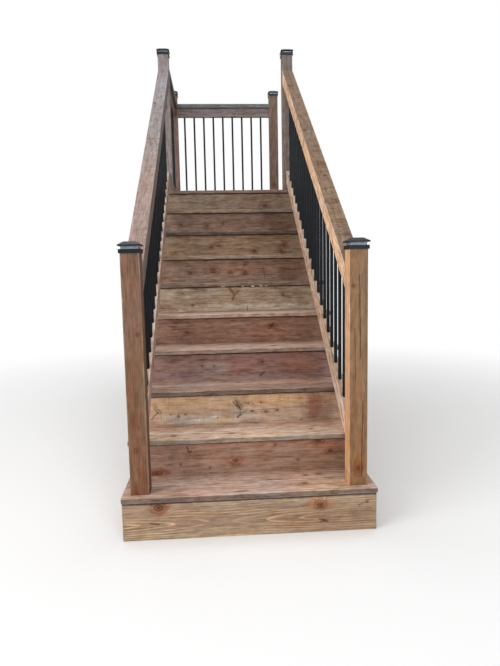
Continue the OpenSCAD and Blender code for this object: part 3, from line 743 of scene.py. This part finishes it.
# A dark line under each nosing, partly dirt and partly painted shadow: its distance below the board's top, its
# width and its force. Where no line is given, it lies higher from step to step, as the eye comes level with the
# nosing. The tint below darkens a band along each riser's top, partly as dirt and partly as painted shade.
DIRT_AND_SHADOW_LINES = {1: (0.0135, 0.007, 1.0), 3: (0.0068, 0.0055, 1.0), 4: (0.0042, 0.0050, 1.0), 6: (0.0024, 0.0060, 1.0)}
DIRT_AND_SHADOW_TINT = (0.68, 0.62, 0.58)
STREAKY_FROM = 5  # the risers from this one up have stronger streaks
bm = bmesh.new()
mats = []
for k, looks in RISER_LOOK.items():
    front = FRONT + (k - 1) * RUN + NOSE
    low = 0.0 if k == 1 else TREAD_BOX[k - 1][0].z
    high = (TREAD_BOX[k] if k < STEPS else LANDING_BOX)[0].z
    half_x = HALF_TREAD if k == 1 else HALF_RISER
    a, b = Vector((-half_x, front, low)), Vector((half_x, front + RISER_T, high))
    add_plank(bm, a, b, k - 1, 400 + k, ease=0.0015, bow=0.0003, dips=looks.pop("dips", ()))
    half = (b - a) / 2
    # The line under the nosing and the band along the riser's top are partly dirt and partly painted shadow
    below, width, force = DIRT_AND_SHADOW_LINES.get(k, (max(0.002, 0.0118 - 0.0024 * k), 0.0045, 0.75))
    under = half.z - below
    mats.append(wood(
        f"riser_{k}", (a + b) / 2, X, Z, (half.x, half.z, half.y), looks.pop("tone"), 900 + 17 * k, edges=0.1,
        patches=[*looks.pop("patches"), (0, half.z, 3.0, 0.010, DIRT_AND_SHADOW_TINT)],
        splits=[*looks.pop("splits", ()), (-half.x, under, half.x, under, width, force)],
        streaks=looks.pop("streaks", 0.6 if k < STREAKY_FROM else 0.7), **looks,
    ))
riser_boards = finish_piece(bm, "riser_boards", mats, "risers")
sharpen(riser_boards)

# ---------------------------------------------------------------- landing boards
DECK_TONES = ("dark", "olive", "reddish", "dark", "tan", "reddish", "olive", "tan", "dark")
bm = bmesh.new()
mats = []
lo, hi = LANDING_BOX
pitch = BOARD_W + BOARD_GAP
for row in range(math.ceil((hi.y - lo.y) / pitch)):
    rng = random.Random(700 + row)
    y0 = lo.y + row * pitch
    a = Vector((lo.x + rng.uniform(0, END_PLAY), y0, lo.z))
    b = Vector((hi.x - rng.uniform(0, END_PLAY), min(y0 + BOARD_W, hi.y), hi.z))
    add_plank(bm, a, b, row, 720 + row)
    mats.append(wood(
        f"deck_{row + 1}", (a + b) / 2, X, Y, (b - a) / 2, DECK_TONES[row % len(DECK_TONES)], 740 + row, 1.1,
        knots=random_knots(760 + row, HALF_TREAD * 2, BOARD_W, rng.randint(1, 3)), weather=0.6, edges=0.7,
    ))
deck = finish_piece(bm, "landing_deck", mats, "landing_boards")
cut_posts(deck, [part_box(f"post_{a}_{b}") for a in ("front", "back") for b in ("left", "right")])
sharpen(deck)


# ---------------------------------------------------------------- pieces that keep their CAD shape
def dress(node, mat):
    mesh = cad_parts[node].data
    mesh.materials.clear()
    mesh.materials.append(mat)


def dress_wood(node, along, across, tone, seed, bright=1.0, half=None, **looks):
    """Wood for one CAD piece. Half is its half size in its own directions, where its box doesn't give that."""
    lo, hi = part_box(node)
    if half is None:
        axes = (along, across, along.cross(across))
        half = [sum(abs(axis[k]) * (hi - lo)[k] for k in range(3)) / 2 for axis in axes]
    dress(node, wood(node + "_wood", (lo + hi) / 2, along, across, half, tone, seed, bright, **looks))


LONG = 2.0  # stands for half the length of a post or rail: only its edges are looked for, not its ends
KNOT_SPAN = 2.6  # knots are strewn over this length of a post or a stair rail
GUARD_SPAN, GUARD_W = 0.9, 0.08  # and over this length and width of a guard's rails
POST_HALF = (LONG, POST / 2, POST / 2)
# Painted shade darkens the inner (+X) face of the left newel
dress_wood(
    "newel_left", Z, X, "reddish", 21, 0.49, half=POST_HALF, rings=0.9, cracks=0.35, reds=0.7, weather=0.35,
    pith=(0.1, 0.012, -0.04), lean=0.06, streaks=0.45, spacing=0.008, edges=0.6, sides=((X, 0.85),),
    knots=[(-0.25, -0.01, 0.014, 0.010, 1.6, 0.3), (0.30, 0.02, 0.010, 0.008, 1.6, 0.3)],
    patches=[
        (0.0, 0.0, 4.0, 4.0, (1.0, 1.0, 0.93)), (-0.45, 0.0, 0.30, 0.2, (1.04, 0.88, 0.72)),
        (0.05, -0.02, 0.16, 0.04, (1.04, 0.92, 0.84)), (0.35, 0.01, 0.2, 0.06, (1.08, 1.0, 0.96)),
        (-0.50, -0.012, 0.05, 0.020, (1.0, 0.80, 0.72)), (-0.36, 0.015, 0.04, 0.018, (1.02, 0.84, 0.76)),
        (-0.43, -0.022, 0.03, 0.015, (0.84, 0.76, 0.70)), (-0.22, 0.0, 0.05, 0.022, (0.92, 0.80, 0.74)),
        (0.08, 0.0, 0.24, 0.20, (0.97, 0.95, 0.80)), (-0.10, -0.03, 0.09, 0.020, (0.84, 0.80, 0.66)),
        (-0.12, -0.02, 0.04, 0.020, (1.04, 0.86, 0.78)),
    ],
)
# Painted light makes the inner (-X) face of the right newel three times as bright
dress_wood(
    "newel_right", Z, X, "golden", 22, 0.58, half=POST_HALF, rings=0.7, cracks=0.7, reds=0.2, weather=0.2,
    pith=(-0.1, -0.02, 0.04), streaks=0.4, spacing=0.008, edges=0.4, sides=((-X, 3.0),),
    knots=[(0.50, -0.025, 0.008, 0.007), (-0.38, -0.002, 0.013, 0.010, 1.0, 0.9)],
    splits=[
        (0.55, 0.004, 0.16, 0.010, 0.004, 0.8), (-0.05, 0.022, -0.42, 0.016, 0.004, 0.8),
        (0.30, -0.018, 0.05, -0.014, 0.003, 0.7),
    ],
    patches=[
        (-0.45, 0.0, 0.28, 0.2, (1.0, 0.93, 0.82)), (0.26, 0.036, 0.42, 0.020, (0.78, 0.80, 0.78)),
        (-0.12, 0.0, 0.22, 0.10, (0.95, 0.90, 0.86)), (-0.38, -0.002, 0.05, 0.03, (1.0, 0.75, 0.62)),
    ],
)
for k, (node, tone, bright, patches) in enumerate((
    ("post_front_left", "ash", 0.62, ()),
    # The pale strip along one edge of this post is painted light
    ("post_front_right", "ash", 0.42, [(0.2, -0.034, 2.0, 0.016, (1.35, 1.22, 1.05))]),
    ("post_back_left", "dark", 0.88, ()),
    ("post_back_right", "dark", 0.82, ()),
)):
    dress_wood(node, Z, X, tone, 30 + k, bright, half=POST_HALF, cracks=0.9, spacing=0.007, patches=patches,
               knots=random_knots(40 + k, KNOT_SPAN, POST, 5))

# Painted shade darkens the inner (+X) face of the left stair rail
dress_wood(
    "stair_rail_left", UPHILL, X, "ash", 51, 0.72, half=POST_HALF, mill=0.35, mill_rate=45.0, weather=0.5, rings=0.3,
    reds=0.2, streaks=0.5, edges=0.4, sides=((X, 0.6),), knots=random_knots(1, KNOT_SPAN, POST, 4, 0.005, 0.009),
    splits=[(0.596, -0.045, 0.588, 0.045, 0.005, 0.35), (0.078, -0.045, 0.070, 0.045, 0.005, 0.35)],
    patches=[(-0.9, 0.0, 0.8, 0.4, (1.12, 0.97, 0.88)), (0.9, 0.0, 0.7, 0.4, (0.94, 0.99, 1.06))],
)
# On the right stair rail, painted shade, partly standing for weathering, darkens the top face, and painted light
# brightens the inner (-X) face
dress_wood(
    "stair_rail_right", UPHILL, X, "peach", 52, 0.74, half=POST_HALF, mill=1.0, mill_rate=75.0, weather=0.5, rings=0.3,
    reds=0.4, streaks=0.6, edges=0.5, sides=((SQUARE_UP, 0.42), (-X, 1.6)),
    knots=random_knots(2, KNOT_SPAN, POST, 4, 0.005, 0.009),
    patches=[
        (-0.30, 0.015, 0.035, 0.05, (0.70, 0.60, 0.54)), (-0.12, 0.02, 0.025, 0.04, (0.76, 0.68, 0.62)),
        (-0.76, 0.0, 0.030, 0.06, (0.76, 0.68, 0.62)), (0.22, 0.02, 0.030, 0.04, (0.76, 0.68, 0.64)),
        (-0.97, 0.01, 0.025, 0.05, (0.78, 0.70, 0.64)), (-1.09, 0.02, 0.020, 0.04, (0.78, 0.70, 0.64)),
        (0.75, 0.0, 0.50, 0.3, (0.94, 0.94, 1.0)),
    ],
)
# Painted shade on the inner face of the left lower rail, painted light on the inner face of the right one
for k, (node, painted_inner_side, tint) in enumerate((
    ("stair_low_rail_left", (X, 0.9), (0.98, 1.10, 1.18)),
    ("stair_low_rail_right", (-X, 1.45), (1.0, 1.08, 1.05)),
)):
    dress_wood(node, UPHILL, SQUARE_UP, "pinkish", 54 + k, 0.9, half=(LONG, POST / 2, LOW_RAIL_T / 2), streaks=0.8,
               sides=(painted_inner_side,), knots=random_knots(60 + k, KNOT_SPAN, POST, 6, 0.005, 0.011),
               patches=[(0, 0, 4.0, 4.0, tint)])
for k, (node, along, across) in enumerate((("back_cap_rail", X, Y), ("side_cap_rail", Y, X))):
    dress_wood(node, along, across, "ash", 70 + k, 0.44, weather=0.8, reds=0.0,
               patches=[(0, 0, 4.0, 4.0, (0.86, 1.0, 1.04))], knots=random_knots(80 + k, GUARD_SPAN, GUARD_W, 2))
for k, (node, along, tone, bright) in enumerate((
    ("back_rail", X, "ash", 0.56), ("side_rail", Y, "dark", 0.95),
    ("back_low_rail", X, "dark", 0.95), ("side_low_rail", Y, "dark", 0.95),
)):
    dress_wood(node, along, Z, tone, 74 + k, bright, weather=0.5,
               knots=random_knots(90 + k, GUARD_SPAN, GUARD_W, 2, 0.004, 0.008))
for k, (node, along, across) in enumerate((
    ("stringer_left", UPHILL, SQUARE_UP), ("stringer_middle", UPHILL, SQUARE_UP), ("stringer_right", UPHILL, SQUARE_UP),
    ("landing_header", X, Z), ("landing_joists", Y, Z),
    ("landing_rim_left", Y, Z), ("landing_rim_right", Y, Z), ("landing_rim_back", X, Z),
)):
    dress_wood(node, along, across, "frame", 110 + k, 0.95, edges=0.0, weather=0.4, spacing=0.009,
               knots=random_knots(120 + k, length=1.0, width=0.2, count=3))


# ---------------------------------------------------------------- metal, plastic and clear parts
DUST = srgb(52, 55, 60)


def coated(name, colour, roughness, shine, coat, speck):
    """Dark powder coat or moulded plastic, with fine specks of this many to the metre and uneven dust."""
    mat, g = new_material(name)
    p = g.node("ShaderNodeTexCoord").outputs["Object"]
    broad = g.noise(p, 9.0, 3.0, 0.6)
    shader = g.node("ShaderNodeBsdfPrincipled")
    g.put(shader.inputs["Base Color"], g.mix(g.fit(broad, 0.45, 0.75, 0.0, 0.15), colour, DUST))
    g.put(shader.inputs["Roughness"], g.fit(broad, 0.3, 0.7, roughness - 0.06, roughness + 0.1, "LINEAR"))
    g.put(shader.inputs["Normal"], g.bump(g.noise(p, speck, 2.0, 0.6), 0.35, 0.0002))
    shader.inputs["Specular IOR Level"].default_value = shine
    shader.inputs["Coat Weight"].default_value = coat
    shader.inputs["Coat Roughness"].default_value = 0.25
    g.put(g.node("ShaderNodeOutputMaterial").inputs[0], shader.outputs[0])
    return mat


baluster_coat = coated("baluster_coat", srgb(12, 16, 22), 0.32, 0.14, 0.0, 900.0)
cap_shell = coated("cap_shell", srgb(11, 15, 22), 0.3, 0.16, 0.06, 700.0)
for node in ("stair_balusters_left", "stair_balusters_right", "back_balusters", "side_balusters"):
    dress(node, baluster_coat)
for node in ("cap_light_bases", "cap_light_roofs"):
    dress(node, cap_shell)

mat, g = new_material("cap_window")
haze = g.noise(g.node("ShaderNodeTexCoord").outputs["Object"], 40.0, 3.0, 0.6)
shader = g.node("ShaderNodeBsdfPrincipled")
g.put(shader.inputs["Base Color"], g.mix(g.fit(haze, 0.4, 0.7, 0.0, 0.5), srgb(176, 190, 204), srgb(132, 148, 166)))
g.put(shader.inputs["Roughness"], g.fit(haze, 0.35, 0.7, 0.12, 0.3, "LINEAR"))
shader.inputs["Transmission Weight"].default_value = 0.55
shader.inputs["IOR"].default_value = 1.49
g.put(g.node("ShaderNodeOutputMaterial").inputs[0], shader.outputs[0])
dress("cap_light_windows", mat)

# ---------------------------------------------------------------- floor, lights, camera
FLOOR_SIZE = 30.0
FLOOR_DROP = 0.0006  # keeps the floor clear of the feet that stand on it
FLOOR_FADE = (1.2, 5.5)  # between these distances from the middle the floor turns white to the camera
FLOOR_SHADE = 0.95
WORLD_LIGHT = 0.4  # the world's light on the stairs, while the camera, mirrors and clear parts see it white
bm = bmesh.new()
bmesh.ops.create_grid(bm, x_segments=2, y_segments=2, size=FLOOR_SIZE)
bmesh.ops.translate(bm, vec=(0, 0, -FLOOR_DROP), verts=bm.verts)
mesh = to_mesh(bm, "studio_floor")
floor = link("studio_floor", mesh)
mat, g = new_material("studio_floor")
spread = g.vec("LENGTH", g.stretch(g.node("ShaderNodeTexCoord").outputs["Object"], 1, 1, 0))
seen = g.math("MULTIPLY", g.fit(spread, *FLOOR_FADE), g.node("ShaderNodeLightPath").outputs["Is Camera Ray"])
shader = g.node("ShaderNodeBsdfPrincipled")
shader.inputs["Base Color"].default_value = (FLOOR_SHADE, FLOOR_SHADE, FLOOR_SHADE, 1)
shader.inputs["Roughness"].default_value = 0.9
white = g.node("ShaderNodeEmission")
blend = g.call("ShaderNodeMixShader", seen, shader.outputs[0], white.outputs[0])
g.put(g.node("ShaderNodeOutputMaterial").inputs[0], blend)
mesh.materials.append(mat)

world = bpy.data.worlds.new("studio")
bpy.context.scene.world = world
world.use_nodes = True
g = Graph(world.node_tree)
rays = g.node("ShaderNodeLightPath").outputs
seen = g.math("MAXIMUM", rays["Is Camera Ray"], g.math("MAXIMUM", rays["Is Glossy Ray"], rays["Is Transmission Ray"]))
background = g.node("ShaderNodeBackground")
background.inputs["Color"].default_value = (1, 1, 1, 1)
g.put(background.inputs["Strength"], g.fit(seen, 0.0, 1.0, WORLD_LIGHT, 1.0, "LINEAR"))
g.put(g.node("ShaderNodeOutputWorld").inputs[0], background.outputs[0])

# Square lamps: (place, target, size, power in watts)
LAMPS = {
    "key": ((-8.0, -6.5, 4.8), (0, 0, 1.2), 6.0, 560),
    "front": ((1.5, -9.5, 4.4), (0, 0, 1.2), 5.0, 335),
    "top": ((-0.5, 0.5, 9.0), (0, 0, 1.0), 6.0, 240),
}
for name, (place, target, size, power) in LAMPS.items():
    data = bpy.data.lights.new(name, "AREA")
    data.shape, data.size, data.energy = "SQUARE", size, power
    lamp = link(name, data)
    lamp.location = place
    lamp.rotation_euler = (Vector(target) - Vector(place)).to_track_quat("-Z", "Y").to_euler()

# The camera, as fitted to the photograph
CAM_PLACE = Vector((-0.1468, -4.2340, 1.2652))
CAM_YAW, CAM_PITCH, CAM_ROLL = -0.0638, 0.1152, -0.0202
CAM_FOCAL_PX, FRAME_W = 541.5, 500.0
look = Vector((
    -math.sin(CAM_YAW) * math.cos(CAM_PITCH), math.cos(CAM_YAW) * math.cos(CAM_PITCH), -math.sin(CAM_PITCH),
))
level = Vector((math.cos(CAM_YAW), math.sin(CAM_YAW), 0))
upright = level.cross(look)
right = math.cos(CAM_ROLL) * level + math.sin(CAM_ROLL) * upright
up = -math.sin(CAM_ROLL) * level + math.cos(CAM_ROLL) * upright
data = bpy.data.cameras.new("camera")
data.sensor_fit = "HORIZONTAL"
data.sensor_width = 36.0
data.lens = CAM_FOCAL_PX * data.sensor_width / FRAME_W
data.clip_end = 200
camera = link("camera", data)
camera.matrix_world = Matrix.Translation(CAM_PLACE) @ Matrix((right, up, -look)).transposed().to_4x4()
bpy.context.scene.camera = camera
bpy.context.scene.view_settings.view_transform = "Standard"

# ---------------------------------------------------------------- close
bpy.context.view_layer.update()
